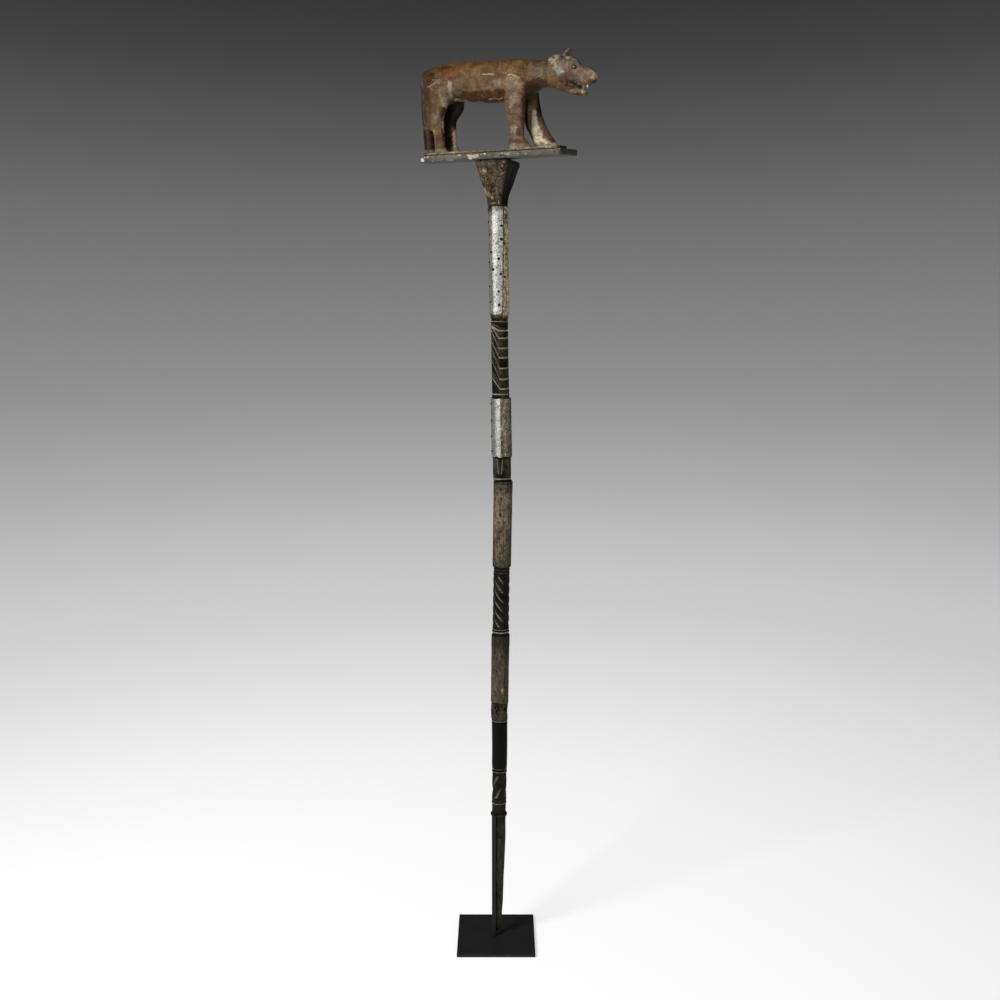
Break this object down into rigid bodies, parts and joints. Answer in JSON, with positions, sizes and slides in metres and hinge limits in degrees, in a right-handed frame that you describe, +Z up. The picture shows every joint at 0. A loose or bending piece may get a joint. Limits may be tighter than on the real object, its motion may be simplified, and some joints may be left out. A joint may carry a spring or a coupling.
{
  "type": "linguist staff",
  "caption": "Carved wooden staff with foil sleeves and twisted stretches, topped by a standing leopard on a plank, held upright on a small square steel stand.",
  "frame": {"origin": "centre of the underside of the stand's square plate", "axes": "+Z up along the staff; +X to the side that the leopard faces; -Y to the front"},
  "size_m": [0.3127, 0.1782, 1.681],
  "materials": {
    "leopard_paint": "worn brown paint over pale wood, with cream wear",
    "plank_wood": "grey-green weathered paint with pale chips",
    "capital_wood": "dark brown carved wood with traces of gilding",
    "shaft_wood": "blackened carved wood with pale dust in the grooves",
    "silver_foil": "beaten silver-coloured foil, nailed, part tarnished",
    "tarnished_foil": "dark brown tarnished foil with worn flecks",
    "stand_steel": "satin black steel"
  },
  "bodies": {
    "root": {"leopard": "leopard_paint", "plank": "plank_wood", "capital": "capital_wood", "upper_shaft": "shaft_wood", "lower_shaft": "shaft_wood", "top_sleeve": "silver_foil", "middle_sleeve": "silver_foil", "joint_sleeve": "tarnished_foil", "lower_sleeve": "tarnished_foil", "base_plate": "stand_steel", "support_post": "stand_steel"}
  },
  "joints": []
}
